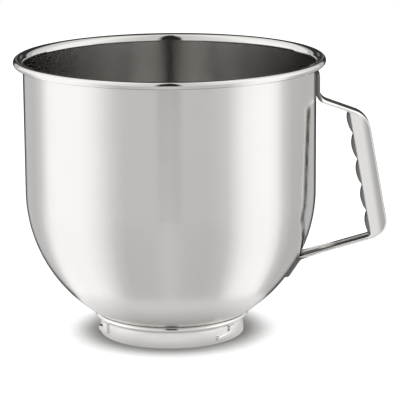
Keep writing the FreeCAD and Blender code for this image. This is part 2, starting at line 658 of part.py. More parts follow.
def plan_trim(body, name, inset, inset_text):
    """Cut both sides to the plan view: even at the grip, flared in two arcs near the bowl."""
    sketch = new_sketch(body, name, "XY_Plane")
    narrow = strap_width / 2 - inset
    wide = flare_width / 2 - inset
    start = wall_radius + flare_reach
    end = wall_radius - flare_depth
    far = wall_radius + 2 * grip_lower_reach
    near_x = end - grip_lower_reach
    rise = (flare_width - strap_width) / 2
    run = flare_reach + flare_depth
    radius = (run ** 2 + rise ** 2) / (4 * rise)
    half = math.asin(run / 2 / radius)
    quarter = math.pi / 2
    outer = add_line(sketch, (far, narrow), (start, narrow))
    first = add_arc(sketch, (start, narrow + radius), radius, -quarter - half, -quarter)
    second = add_arc(sketch, (end, wide - radius), radius, quarter - half, quarter)
    inner = add_line(sketch, (end, wide), (near_x, wide))
    back = [add_line(sketch, (near_x, wide), (near_x, flare_width)),
            add_line(sketch, (near_x, flare_width), (far, flare_width)),
            add_line(sketch, (far, flare_width), (far, narrow))]
    tie(sketch, "Tangent", outer, 2, first, 2)
    tie(sketch, "Tangent", first, 1, second, 1)
    tie(sketch, "Tangent", second, 2, inner, 1)
    tie(sketch, "Coincident", inner, 2, back[0], 1)
    tie(sketch, "Coincident", back[0], 2, back[1], 1)
    tie(sketch, "Coincident", back[1], 2, back[2], 1)
    tie(sketch, "Coincident", back[2], 2, outer, 1)
    tie(sketch, "Horizontal", outer)
    tie(sketch, "Horizontal", inner)
    tie(sketch, "Vertical", back[0])
    tie(sketch, "Horizontal", back[1])
    tie(sketch, "Vertical", back[2])
    tie(sketch, "Equal", first, second)
    pin_point(sketch, outer, 2, "sizes.wall_radius + sizes.flare_reach",
              "sizes.strap_width / 2" + inset_text)
    pin_point(sketch, inner, 1, "sizes.wall_radius - sizes.flare_depth",
              "sizes.flare_width / 2" + inset_text)
    bind(sketch, "DistanceX", (-1, 1, outer, 1), "sizes.wall_radius + 2 * sizes.grip_lower_reach")
    bind(sketch, "DistanceX", (-1, 1, inner, 2),
         "sizes.wall_radius - sizes.flare_depth - sizes.grip_lower_reach")
    bind(sketch, "DistanceY", (-1, 1, back[1], 1), "sizes.flare_width")
    pocket = body.newObject("PartDesign::Pocket", name + "_cut")
    pocket.Profile = sketch
    pocket.Midplane = True
    pocket.Type = "ThroughAll"
    doc.recompute()
    mirror = body.newObject("PartDesign::Mirrored", name + "_mirror")
    mirror.Originals = [pocket]
    mirror.MirrorPlane = (origin_of(body, "XZ_Plane"), [""])
    body.Tip = mirror
    doc.recompute()


def slot_outline(body, high, low):
    """The slot between the return lips in side view, from one open strap to the other."""
    sketch = new_sketch(body, "slot_side")
    web = web_lines(sketch, True)
    grip = toward(high, low)
    depth = 2 * handle_sheet
    guide = add_line(sketch, high, low, True)
    offset_line(sketch, guide, web[2], "sizes.grip_depth")
    bind(sketch, "Distance", (guide, 1, web[1]), "sizes.strap_depth + sizes.lip_end")
    bind(sketch, "Distance", (guide, 2, web[3]), "sizes.strap_depth + sizes.lip_end")
    run = polygon(sketch, [shifted(high, grip, depth), shifted(high, grip, -depth),
                           shifted(low, grip, -depth), shifted(low, grip, depth)])
    for end, line in ((1, run[0]), (2, run[2])):
        tie(sketch, "Perpendicular", line, web[2])
        tie(sketch, "PointOnObject", guide, end, line)
    offset_line(sketch, run[1], web[2], "sizes.grip_depth - 2 * sizes.handle_sheet")
    offset_line(sketch, run[3], web[2], "sizes.grip_depth + 2 * sizes.handle_sheet")
    return sketch


def make_handle(seat):
    """The handle: the folded channel, hollowed, slotted and trimmed to the bowl."""
    outer = new_body("handle_form")
    pad_both_ways(outer, side_outline(outer), "handle_block", "2 * sizes.flare_width")
    web = web_points()
    deep = strap_depth + seat_depth
    inner = inner_points([deep, strap_depth, grip_depth, strap_depth, deep])
    plan_trim(outer, "handle_plan", 0.0, "")
    bends = [(web[1], "upper_bend"), (web[2], "upper_corner"), (web[3], "lower_corner"),
             (web[4], "lower_bend"), (inner[2], "upper_notch"), (inner[3], "lower_notch")]
    for point, name in bends:
        round_edges(outer, "handle_" + name, "sizes." + name, joins(point, point))
    round_edges(outer, "handle_upper_root", "sizes.upper_bend + sizes.strap_depth",
                joins(inner[1], inner[1]))
    round_edges(outer, "handle_lower_root", "sizes.lower_bend + sizes.strap_depth",
                joins(inner[4], inner[4]))
    for ends, name in (((web[0], inner[0]), "upper"), ((web[5], inner[5]), "lower")):
        round_edges(outer, "tab_corner_" + name, "sizes.tab_round", crosses(*ends))
    round_edges(outer, "handle_folds", "sizes.fold_radius", lies_on(web[2], web[3]))
    round_edges(outer, "handle_free_edges", "sizes.edge_radius", lies_on(inner[2], inner[3]))

    hollow = new_body("handle_hollow")
    sketch, points = hollow_outline(hollow)
    pad_both_ways(hollow, sketch, "hollow_block", "2 * sizes.flare_width")
    plan_trim(hollow, "hollow_plan", handle_sheet, " - sizes.handle_sheet")
    sheet_text = "sizes.handle_sheet"
    for point, name, sign in ((points[1], "upper_bend", " + "), (points[2], "upper_corner", " - "),
                              (points[3], "lower_corner", " - "), (points[4], "lower_bend", " + ")):
        round_edges(hollow, "hollow_" + name, "sizes." + name + sign + sheet_text,
                    joins(point, point))
    for ends, name in (((points[0], points[13]), "upper"), ((points[5], points[6]), "lower")):
        round_edges(hollow, "hollow_corner_" + name, "sizes.tab_round - " + sheet_text,
                    crosses(*ends))
    round_edges(hollow, "hollow_folds", "sizes.fold_radius - " + sheet_text,
                lies_on(points[2], points[3]))

    slot = new_body("handle_slot")
    pad_both_ways(slot, slot_outline(slot, points[11], points[8]), "slot_block",
                  "sizes.strap_width - 2 * sizes.lip_width")
    tools = join("handle_inside", "Part::Fuse", hollow, slot)
    channel = join("handle_channel", "Part::Cut", outer, tools)
    return join("handle", "Part::Cut", channel, seat)


def join(name, kind, base, tool):
    """A boolean of two objects of the document."""
    feature = doc.addObject(kind, name)
    feature.Base = base
    feature.Tool = tool
    doc.recompute()
    return feature


def make_seat():
    """The bowl's outside as one solid, to which the handle's flanges are trimmed."""
    body = new_body("bowl_solid")
    sketch = new_sketch(body, "bowl_solid_section")
    bowl_outline(sketch, 0.0, "", flare_start, FLARE_START)
    revolve(body, sketch, "bowl_solid_form")
    return body


# Finger strip: one row of pressed lobes that shows between the return lips


STRAP_OUT = "(sizes.grip_upper_reach - sizes.strap_depth)"
GRIP_OUT = "(sizes.grip_lower_reach - sizes.grip_upper_reach)"
STRAP_LENGTH = "sqrt(%s ^ 2 + sizes.strap_drop ^ 2)" % STRAP_OUT
GRIP_LENGTH = "sqrt(%s ^ 2 + sizes.grip_height ^ 2)" % GRIP_OUT
UPPER_GAIN = (
    "(sizes.grip_depth * ({strap} * {grip} + sizes.strap_drop * sizes.grip_height)"
    " - sizes.strap_depth * {strap_length} * {grip_length})"
    " / ({strap} * sizes.grip_height - sizes.strap_drop * {grip})"
).format(strap=STRAP_OUT, grip=GRIP_OUT, strap_length=STRAP_LENGTH, grip_length=GRIP_LENGTH)
LOWER_GAIN = (
    "(sizes.grip_depth * (sizes.grip_height * sin(sizes.lower_slope)"
    " - {grip} * cos(sizes.lower_slope)) - sizes.strap_depth * {grip_length})"
    " / ({grip} * sin(sizes.lower_slope) + sizes.grip_height * cos(sizes.lower_slope))"
).format(grip=GRIP_OUT, grip_length=GRIP_LENGTH)
FINGER_PITCH = "((%s + %s + %s) / (sizes.first_lobe + %d + sizes.last_lobe))" % (
    GRIP_LENGTH, UPPER_GAIN, LOWER_GAIN, LOBES - 2)


def strip_side(body, name, inset, inset_text):
    """The strip in side view: lobes and valleys, two ends and a straight back."""
    sketch = new_sketch(body, name)
    web = web_lines(sketch, True)
    gap = handle_sheet + strip_clearance + inset
    gap_text = "sizes.handle_sheet + sizes.strip_clearance" + inset_text.replace("-", "+")
    back_off = grip_depth - handle_sheet - strip_sheet - 2 * inset
    back_text = ("sizes.grip_depth - sizes.handle_sheet - sizes.strip_sheet"
                 + inset_text.replace("sizes", "2 * sizes"))
    corners = web_points()
    ways = [toward(corners[i], corners[i + 1]) for i in range(5)]
    edge = inner_points([strap_depth, strap_depth, grip_depth, strap_depth, strap_depth])
    grip = ways[2]
    pitch = math.dist(edge[2], edge[3]) / (first_lobe + LOBES - 2 + last_lobe)
    arch = ((pitch / 2) ** 2 + lobe_height ** 2) / (2 * lobe_height)
    arch_text = ("((%s / 2) ^ 2 + sizes.lobe_height ^ 2)"
                 " / (2 * sizes.lobe_height)") % FINGER_PITCH
    lobe = arch - valley_radius - inset
    valley = valley_radius + inset

    def place(along, out):
        """A point so far down the grip and so far out of the channel's open edge."""
        start = (edge[2][0] + along * grip[0], edge[2][1] + along * grip[1])
        return shifted(start, grip, out)

    valleys = [place((first_lobe + i) * pitch, valley_radius) for i in range(LOBES - 1)]
    lobes = [place((first_lobe + i - 0.5) * pitch, lobe_height - arch + valley_radius)
             for i in range(LOBES)]

    def angle(centre, point):
        return math.atan2(point[1] - centre[1], point[0] - centre[0])

    def crossing(centre, line_point, way):
        """Where a lobe's circle crosses an end line, on the side towards the bowl."""
        offset = (centre[0] - line_point[0], centre[1] - line_point[1])
        along = offset[0] * way[0] + offset[1] * way[1]
        square = along ** 2 - offset[0] ** 2 - offset[1] ** 2 + lobe ** 2
        hits = [along - math.sqrt(square), along + math.sqrt(square)]
        spots = [(line_point[0] + k * way[0], line_point[1] + k * way[1]) for k in hits]
        spot = min(spots)
        return spot, angle(centre, spot) % (2 * math.pi)

    top_line = shifted(corners[1], ways[1], gap)
    low_line = shifted(corners[3], ways[3], gap)
    first, start = crossing(lobes[0], top_line, ways[1])
    last, finish = crossing(lobes[-1], low_line, ways[3])
    bounds = [start]
    for i in range(LOBES - 1):
        bounds += [angle(lobes[i], valleys[i]) % (2 * math.pi),
                   angle(lobes[i + 1], valleys[i]) % (2 * math.pi)]
    bounds.append(finish)
    arcs = [add_arc(sketch, lobes[i], lobe, bounds[2 * i], bounds[2 * i + 1])
            for i in range(LOBES)]
    dips = [add_arc(sketch, valleys[i], valley, angle(valleys[i], lobes[i + 1]),
                    angle(valleys[i], lobes[i])) for i in range(LOBES - 1)]
    back_start = meet(top_line, ways[1], shifted(corners[2], grip, back_off), grip)
    back_end = meet(low_line, ways[3], shifted(corners[2], grip, back_off), grip)
    low_end = add_line(sketch, last, back_end)
    back = add_line(sketch, back_end, back_start)
    top_end = add_line(sketch, back_start, first)
    for i in range(LOBES - 1):
        tie(sketch, "Tangent", arcs[i], 2, dips[i], 2)
        tie(sketch, "Tangent", dips[i], 1, arcs[i + 1], 1)
    tie(sketch, "Coincident", arcs[-1], 2, low_end, 1)
    tie(sketch, "Coincident", low_end, 2, back, 1)
    tie(sketch, "Coincident", back, 2, top_end, 1)
    tie(sketch, "Coincident", top_end, 2, arcs[0], 1)
    for arc in arcs:
        bind(sketch, "Radius", (arc,), "%s - sizes.valley_radius%s" % (arch_text, inset_text))
    bind(sketch, "Radius", (dips[0],), "sizes.valley_radius" + inset_text.replace("-", "+"))
    for dip in dips[1:]:
        tie(sketch, "Equal", dips[0], dip)
    row = add_line(sketch, valleys[0], valleys[-1], True)
    tie(sketch, "Coincident", row, 1, dips[0], 3)
    tie(sketch, "Coincident", row, 2, dips[-1], 3)
    tie(sketch, "Parallel", row, web[2])
    bind(sketch, "Distance", (row, 1, web[2]), "sizes.grip_depth + sizes.valley_radius")
    for dip in dips[1:-1]:
        tie(sketch, "PointOnObject", dip, 3, row)
    for i in range(LOBES - 2):
        bind(sketch, "Distance", (dips[i], 3, dips[i + 1], 3), FINGER_PITCH)
    across_grip = add_line(sketch, place(0, 0), place(0, -strap_depth), True)
    tie(sketch, "Perpendicular", across_grip, web[2])
    bind(sketch, "Distance", (across_grip, 1, web[2]), "sizes.grip_depth")
    bind(sketch, "Distance", (across_grip, 1, web[1]), "sizes.strap_depth")
    bind(sketch, "Distance", (across_grip,), "sizes.strap_depth")
    bind(sketch, "Distance", (dips[0], 3, across_grip), "sizes.first_lobe * " + FINGER_PITCH)
    lobe_row = add_line(sketch, lobes[0], lobes[-1], True)
    tie(sketch, "Coincident", lobe_row, 1, arcs[0], 3)
    tie(sketch, "Coincident", lobe_row, 2, arcs[-1], 3)
    tie(sketch, "Parallel", lobe_row, web[2])
    tie(sketch, "PointOnObject", arcs[1], 3, lobe_row)
    offset_line(sketch, top_end, web[1], gap_text)
    offset_line(sketch, low_end, web[3], gap_text)
    offset_line(sketch, back, web[2], back_text)
    return sketch


def base_side(body):
    """The strip's base in side view: a strip of sheet against the back of the lips."""
    sketch = new_sketch(body, "base_side")
    web = web_lines(sketch, True)
    gap = handle_sheet + strip_clearance
    face = grip_depth - handle_sheet
    rim = inner_points([gap, gap, face, gap, gap])
    back = inner_points([gap, gap, face - strip_sheet, gap, gap])
    run = polygon(sketch, [rim[2], rim[3], back[3], back[2]])
    offset_line(sketch, run[0], web[2], "sizes.grip_depth - sizes.handle_sheet")
    offset_line(sketch, run[1], web[3], "sizes.handle_sheet + sizes.strip_clearance")
    offset_line(sketch, run[2], web[2],
                "sizes.grip_depth - sizes.handle_sheet - sizes.strip_sheet")
    offset_line(sketch, run[3], web[1], "sizes.handle_sheet + sizes.strip_clearance")
    return sketch


def make_finger_grip():
    """The finger strip: lobes in the slot, hollow behind, on a base behind the lips."""
    slot_text = "sizes.strap_width - 2 * sizes.lip_width - 2 * sizes.strip_clearance"
    lobes = new_body("strip_lobes")
    pad_both_ways(lobes, strip_side(lobes, "lobes_side", 0.0, ""), "lobes_block", slot_text)
    round_edges(lobes, "lobes_edges", "sizes.strip_round",
                lambda edge: edge.Curve.TypeId == "Part::GeomCircle" and not runs_along_y(edge))
    base = new_body("strip_base")
    pad_both_ways(base, base_side(base), "base_block",
                  "sizes.strap_width - 2 * sizes.handle_sheet - 2 * sizes.strip_clearance")
    inside = new_body("strip_inside")
    pad_both_ways(inside, strip_side(inside, "inside_side", strip_sheet, " - sizes.strip_sheet"),
                  "inside_block", slot_text + " - 2 * sizes.strip_sheet")
    solid = join("strip_solid", "Part::Fuse", base, lobes)
    return join("finger_grip", "Part::Cut", solid, inside)


def check_document():
    """Stop if any object failed to recompute."""
    failed = [item.Name for item in doc.Objects if "Invalid" in item.State or "Error" in item.State]
    if failed:
        raise RuntimeError("failed: " + ", ".join(failed))


def write_pieces(pieces):
    """Check each piece's solid and write it to a STEP file of its own."""
    check_document()
    for piece in pieces:
        shape = piece.Shape
        if shape.isNull() or not shape.isValid() or len(shape.Solids) != 1:
            raise RuntimeError("bad solid: " + piece.Label)
        box = shape.BoundBox
        print("%s: volume %.1f, box %.2f %.2f %.2f to %.2f %.2f %.2f" % (
            piece.Label, shape.Volume, box.XMin, box.YMin, box.ZMin, box.XMax, box.YMax, box.ZMax))
    os.makedirs("parts", exist_ok=True)
    for piece in pieces:
        piece.Shape.exportStep("parts/%s.step" % piece.Label)


write_pieces([make_bowl(), make_base_ring(), make_handle(make_seat()), make_finger_grip()])
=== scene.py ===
"""Looks, studio and camera for a polished stainless steel stand mixer bowl."""

import logging
import math
from dataclasses import dataclass, field
from enum import Enum

import bmesh
import bpy
from mathutils import Matrix, Vector


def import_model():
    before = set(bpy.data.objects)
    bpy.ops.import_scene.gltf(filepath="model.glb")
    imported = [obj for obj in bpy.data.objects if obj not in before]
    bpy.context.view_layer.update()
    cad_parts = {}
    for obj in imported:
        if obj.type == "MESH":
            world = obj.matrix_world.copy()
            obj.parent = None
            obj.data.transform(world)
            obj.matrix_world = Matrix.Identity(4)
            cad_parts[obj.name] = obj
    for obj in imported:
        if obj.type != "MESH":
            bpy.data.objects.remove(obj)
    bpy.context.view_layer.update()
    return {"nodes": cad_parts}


log = logging.getLogger("stand_mixer_bowl")

Colour = tuple[float, float, float]
Triple = tuple[float, float, float]
Stops = tuple[tuple[float, float], ...]

HALF_TURN = 180.0
FULL_TURN = 360.0
MIDDLE = 0.5
WHITE: Colour = (1.0, 1.0, 1.0)

# The inside of the bowl reflects itself many times.
GLOSSY_BOUNCES = 8

# A ramp's levels end at 1, so the brighter tent is divided by this in a ramp and multiplied after it.
PANEL_SCALE = 2.0

# Places of the sockets that a Mix node has for numbers and for colours.
MIX_NUMBERS = (2, 3)
MIX_NUMBER_RESULT = 0
MIX_COLOURS = (6, 7)
MIX_COLOUR_RESULT = 2


class Polish(Enum):
    """How finely a steel surface is polished."""

    MIRROR = "mirror"
    BRIGHT = "bright"
    SATIN = "satin"


ROUGHNESS: dict[Polish, float] = {
    Polish.MIRROR: 0.06,
    Polish.BRIGHT: 0.10,
    Polish.SATIN: 0.17,
}


def solid(colour: Colour) -> tuple[float, float, float, float]:
    """Add full opacity to a colour.

    Args:
        colour: Red, green and blue.

    Returns:
        Red, green, blue and one.
    """
    return (*colour, 1.0)


def dial(pairs: Stops, span: float, zero: float = MIDDLE) -> list[tuple[float, float]]:
    """Turn angles in degrees into places on a ramp.

    Args:
        pairs: Angles with their levels.
        span: The angle that the whole ramp covers.
        zero: Where on the ramp the angle 0 lies.

    Returns:
        Places on the ramp with the same levels.
    """
    return [(angle / span + zero, level) for angle, level in pairs]


class NodeKit:
    """Short calls for building one material's or the world's node tree."""

    def __init__(self, tree: bpy.types.NodeTree) -> None:
        """Start from an empty tree.

        Args:
            tree: The node tree to fill.
        """
        self.tree = tree
        self.tree.nodes.clear()

    def add(self, kind: str, **values: object) -> bpy.types.Node:
        """Add one node.

        Args:
            kind: The node's type name.
            **values: Properties to set on the node.

        Returns:
            The new node.
        """
        node = self.tree.nodes.new(kind)
        for name, value in values.items():
            setattr(node, name, value)
        return node

    def feed(self, socket: bpy.types.NodeSocket, value: object) -> None:
        """Set a socket's value, or link it from another socket.

        Args:
            socket: The input socket.
            value: A number, a colour or an output socket.
        """
        if isinstance(value, bpy.types.NodeSocket):
            self.tree.links.new(value, socket)
        else:
            socket.default_value = value

    def math(self, operation: str, *inputs: object, clamp: bool = False) -> bpy.types.NodeSocket:
        """Add a Math node.

        Args:
            operation: The operation's name.
            *inputs: Numbers or output sockets.
            clamp: Whether the result is held between 0 and 1.

        Returns:
            The result's socket.
        """
        node = self.add("ShaderNodeMath", operation=operation, use_clamp=clamp)
        for socket, value in zip(node.inputs, inputs):
            self.feed(socket, value)
        return node.outputs[0]

    def parts(self, vector: bpy.types.NodeSocket) -> list[bpy.types.NodeSocket]:
        """Take a vector apart.

        Args:
            vector: The vector's socket.

        Returns:
            The sockets of its x, y and z.
        """
        node = self.add("ShaderNodeSeparateXYZ")
        self.feed(node.inputs[0], vector)
        return list(node.outputs)

    def bearing(self, vector: bpy.types.NodeSocket) -> bpy.types.NodeSocket:
        """Find the way round to a point or direction.

        Args:
            vector: The point or direction.

        Returns:
            The angle in radians, with zero on the camera's side.
        """
        right, away, _ = self.parts(vector)
        return self.math("ARCTAN2", right, self.math("MULTIPLY", away, -1.0))

    def step(self, value: bpy.types.NodeSocket, near: float, far: float) -> bpy.types.NodeSocket:
        """Rise smoothly from zero to one.

        Args:
            value: The number that drives the rise.
            near: Where the rise starts.
            far: Where it ends.

        Returns:
            The socket of a number from zero to one.
        """
        node = self.add("ShaderNodeMapRange", interpolation_type="SMOOTHSTEP")
        self.feed(node.inputs["Value"], value)
        node.inputs["From Min"].default_value = near
        node.inputs["From Max"].default_value = far
        return node.outputs[0]

    def noise(self, vector: bpy.types.NodeSocket, scale: float, detail: float,
              roughness: float) -> bpy.types.NodeSocket:
        """Add a Noise Texture.

        Args:
            vector: Where the noise is read.
            scale: The noise's scale.
            detail: How many layers it has.
            roughness: How strong its finer layers are.

        Returns:
            A grey level from 0 to 1.
        """
        node = self.add("ShaderNodeTexNoise")
        node.inputs["Scale"].default_value = scale
        node.inputs["Detail"].default_value = detail
        node.inputs["Roughness"].default_value = roughness
        self.feed(node.inputs["Vector"], vector)
        return node.outputs[0]

    def ramp(self, factor: bpy.types.NodeSocket, stops: list[tuple[float, float]],
             smooth: bool = True) -> bpy.types.NodeSocket:
        """Add a grey Color Ramp.

        Args:
            factor: The socket that drives the ramp.
            stops: Positions from 0 to 1 with their grey levels.
            smooth: Whether the levels ease into each other.

        Returns:
            The ramp's colour socket.
        """
        node = self.add("ShaderNodeValToRGB")
        node.color_ramp.interpolation = "EASE" if smooth else "LINEAR"
        elements = node.color_ramp.elements
        while len(elements) < len(stops):
            elements.new(MIDDLE)
        # The new stops start in the middle and get their own places here.
        for element, (position, level) in zip(elements, sorted(stops)):
            element.position = position
            element.color = solid((level, level, level))
        self.feed(node.inputs[0], factor)
        return node.outputs[0]

    def blend(self, factor: object, first: object, second: object) -> bpy.types.NodeSocket:
        """Mix two numbers.

        Args:
            factor: How much of the second is taken.
            first: A number or socket.
            second: A number or socket.

        Returns:
            The mixed number's socket.
        """
        node = self.add("ShaderNodeMix", data_type="FLOAT")
        self.feed(node.inputs[0], factor)
        for place, value in zip(MIX_NUMBERS, (first, second)):
            self.feed(node.inputs[place], value)
        return node.outputs[MIX_NUMBER_RESULT]

    def tones(self, factor: object, first: object, second: object,
              how: str = "MIX") -> bpy.types.NodeSocket:
        """Mix two colours.

        Args:
            factor: How much of the second is taken.
            first: A colour with its opacity, or a socket.
            second: A colour with its opacity, or a socket.
            how: The blend type's name.

        Returns:
            The mixed colour's socket.
        """
        node = self.add("ShaderNodeMix", data_type="RGBA", blend_type=how)
        self.feed(node.inputs[0], factor)
        for place, value in zip(MIX_COLOURS, (first, second)):
            self.feed(node.inputs[place], value)
        return node.outputs[MIX_COLOUR_RESULT]


@dataclass(frozen=True)
class SteelFinish:
    """Stainless steel with fine polishing lines and faint clouds.

    Attributes:
        name: The material's name.
        colour: The steel's plain colour.
        polish: How finely it is polished.
        line_scale: How finely the lines are drawn along x, y and z.
        line_detail: Layers of the lines' noise.
        line_grain: Strength of those layers.
        line_depth: Strength of the lines' bump.
        line_height: Height of the lines' bump in metres.
        cloud_scale: How finely the clouds are drawn.
        cloud_detail: Layers of the clouds' noise.
        cloud_grain: Strength of those layers.
        cloud_amount: How much the clouds change the colour.
        line_share: How much the lines change the colour, as a share of the clouds' change.
        even_level: What clouds and lines add up to on average.
        rough_clouds: Share of the roughness that follows the clouds.
        rough_lines: Share of the roughness that follows the lines.
        rough_base: Share of the roughness that stays the same.
        brushing: How far reflections are stretched, from 0 to 1.
        brushing_turn: The stretch's direction, in turns.
    """

    name: str
    colour: Colour
    polish: Polish
    line_scale: Triple = (60.0, 60.0, 2600.0)
    line_detail: float = 3.0
    line_grain: float = 0.5
    line_depth: float = 0.008
    line_height: float = 0.0002
    cloud_scale: float = 22.0
    cloud_detail: float = 4.0
    cloud_grain: float = 0.55
    cloud_amount: float = 0.05
    line_share: float = 0.6
    even_level: float = 0.8
    rough_clouds: float = 0.25
    rough_lines: float = 0.2
    rough_base: float = 0.78
    brushing: float = 0.0
    brushing_turn: float = 0.25

    def material(self) -> bpy.types.Material:
        """Build the steel's material.

        Returns:
            The new material.
        """
        material = bpy.data.materials.new(self.name)
        material.use_nodes = True
        kit = NodeKit(material.node_tree)
        shader = kit.add("ShaderNodeBsdfPrincipled")
        out = kit.add("ShaderNodeOutputMaterial")
        kit.feed(out.inputs["Surface"], shader.outputs[0])
        shader.inputs["Metallic"].default_value = 1.0
        coords = kit.add("ShaderNodeTexCoord").outputs["Object"]
        clouds = kit.noise(coords, self.cloud_scale, self.cloud_detail, self.cloud_grain)
        lines = self.lines(kit, coords)
        kit.feed(shader.inputs["Base Color"], self.tint(kit, coords, clouds, lines))
        kit.feed(shader.inputs["Roughness"], self.roughness(kit, coords, clouds, lines))
        bump = kit.add("ShaderNodeBump")
        bump.inputs["Strength"].default_value = self.line_depth
        bump.inputs["Distance"].default_value = self.line_height
        kit.feed(bump.inputs["Height"], lines)
        kit.feed(shader.inputs["Normal"], bump.outputs[0])
        shader.inputs["Anisotropic"].default_value = self.brushing
        shader.inputs["Anisotropic Rotation"].default_value = self.brushing_turn
        around = kit.add("ShaderNodeTangent", direction_type="RADIAL", axis="Z")
        kit.feed(shader.inputs["Tangent"], around.outputs[0])
        return material

    def lines(self, kit: NodeKit, coords: bpy.types.NodeSocket) -> bpy.types.NodeSocket:
        """Fine polishing lines, stretched along one direction.

        Args:
            kit: The material's nodes.
            coords: Object coordinates in metres.

        Returns:
            A grey level from 0 to 1.
        """
        mapping = kit.add("ShaderNodeMapping")
        mapping.inputs["Scale"].default_value = self.line_scale
        kit.feed(mapping.inputs["Vector"], coords)
        return kit.noise(mapping.outputs[0], scale=1.0, detail=self.line_detail,
                         roughness=self.line_grain)

    def steel(self, kit: NodeKit, coords: bpy.types.NodeSocket) -> bpy.types.NodeSocket:
        """The steel's plain colour, the same all over.

        Args:
            kit: The material's nodes.
            coords: Object coordinates in metres; not used here, only by finishes whose colour changes
                by place.

        Returns:
            The plain colour's socket.
        """
        plain = kit.add("ShaderNodeRGB")
        plain.outputs[0].default_value = solid(self.colour)
        return plain.outputs[0]

    def tint(self, kit: NodeKit, coords: bpy.types.NodeSocket, clouds: bpy.types.NodeSocket,
             lines: bpy.types.NodeSocket) -> bpy.types.NodeSocket:
        """The steel's colour, varied a little by clouds and lines.

        Args:
            kit: The material's nodes.
            coords: Object coordinates in metres.
            clouds: Soft patches.
            lines: Polishing lines.

        Returns:
            The varied colour's socket.
        """
        level = kit.math("ADD", kit.math("MULTIPLY", clouds, self.cloud_amount),
                         kit.math("MULTIPLY", lines, self.cloud_amount * self.line_share))
        value = kit.math("SUBTRACT", 1.0 + self.cloud_amount * self.even_level, level)
        shade = kit.add("ShaderNodeCombineColor")
        for socket in shade.inputs:
            kit.feed(socket, value)
        return kit.tones(1.0, self.steel(kit, coords), shade.outputs[0], how="MULTIPLY")

    def roughness(self, kit: NodeKit, coords: bpy.types.NodeSocket, clouds: bpy.types.NodeSocket,
                  lines: bpy.types.NodeSocket) -> bpy.types.NodeSocket:
        """How much the surface scatters its reflections.

        Args:
            kit: The material's nodes.
            coords: Object coordinates in metres; not used here, only by finishes whose polish changes
                by place.
            clouds: Soft patches.
            lines: Polishing lines.

        Returns:
            The roughness socket.
        """
        base = ROUGHNESS[self.polish]
        wave = kit.math("ADD", kit.math("MULTIPLY", clouds, base * self.rough_clouds),
                        kit.math("MULTIPLY", lines, base * self.rough_lines))
        return kit.math("ADD", wave, base * self.rough_base)


@dataclass(frozen=True)
class BowlFinish(SteelFinish):
    """The bowl's steel: satin outside, smoother inside and darker there as painted shade, a mirror on
    the rim.

    Attributes:
        inside: The colour inside, darkened as painted shade.
        inside_roughness: The roughness inside.
        rim_low: Height in metres above which the rim is a mirror.
        heart: Height in metres of the point that the inside faces.
    """

    # Painted shade: the inside's colour is darker than the outside's same steel.
    inside: Colour = (0.62, 0.609, 0.597)
    inside_roughness: float = 0.14
    rim_low: float = 0.1965
    heart: float = 0.150

    def inner(self, kit: NodeKit, coords: bpy.types.NodeSocket) -> bpy.types.NodeSocket:
        """Tell the inside of the bowl from its outside.

        Args:
            kit: The material's nodes.
            coords: Object coordinates in metres.

        Returns:
            One on the surface that faces the bowl's heart, or else zero.
        """
        centre = kit.add("ShaderNodeVectorMath", operation="SUBTRACT")
        kit.feed(centre.inputs[0], coords)
        centre.inputs[1].default_value = (0.0, 0.0, self.heart)
        facing = kit.add("ShaderNodeVectorMath", operation="DOT_PRODUCT")
        kit.feed(facing.inputs[0], centre.outputs[0])
        kit.feed(facing.inputs[1], kit.add("ShaderNodeNewGeometry").outputs["Normal"])
        return kit.math("LESS_THAN", facing.outputs["Value"], 0.0)

    def steel(self, kit: NodeKit, coords: bpy.types.NodeSocket) -> bpy.types.NodeSocket:
        """Darker steel inside the bowl, as painted shade.

        Args:
            kit: The material's nodes.
            coords: Object coordinates in metres.

        Returns:
            The plain colour's socket.
        """
        # Painted shade: the inside of the bowl takes the darker colour.
        return kit.tones(self.inner(kit, coords), solid(self.colour), solid(self.inside))

    def roughness(self, kit: NodeKit, coords: bpy.types.NodeSocket, clouds: bpy.types.NodeSocket,
                  lines: bpy.types.NodeSocket) -> bpy.types.NodeSocket:
        """Satin outside, smoother inside and a mirror on the rim.

        Args:
            kit: The material's nodes.
            coords: Object coordinates in metres.
            clouds: Soft patches.
            lines: Polishing lines.

        Returns:
            The roughness socket.
        """
        outside = super().roughness(kit, coords, clouds, lines)
        _, _, height = kit.parts(coords)
        rim = kit.math("GREATER_THAN", height, self.rim_low)
        body = kit.blend(self.inner(kit, coords), outside, self.inside_roughness)
        return kit.blend(rim, body, ROUGHNESS[Polish.MIRROR])


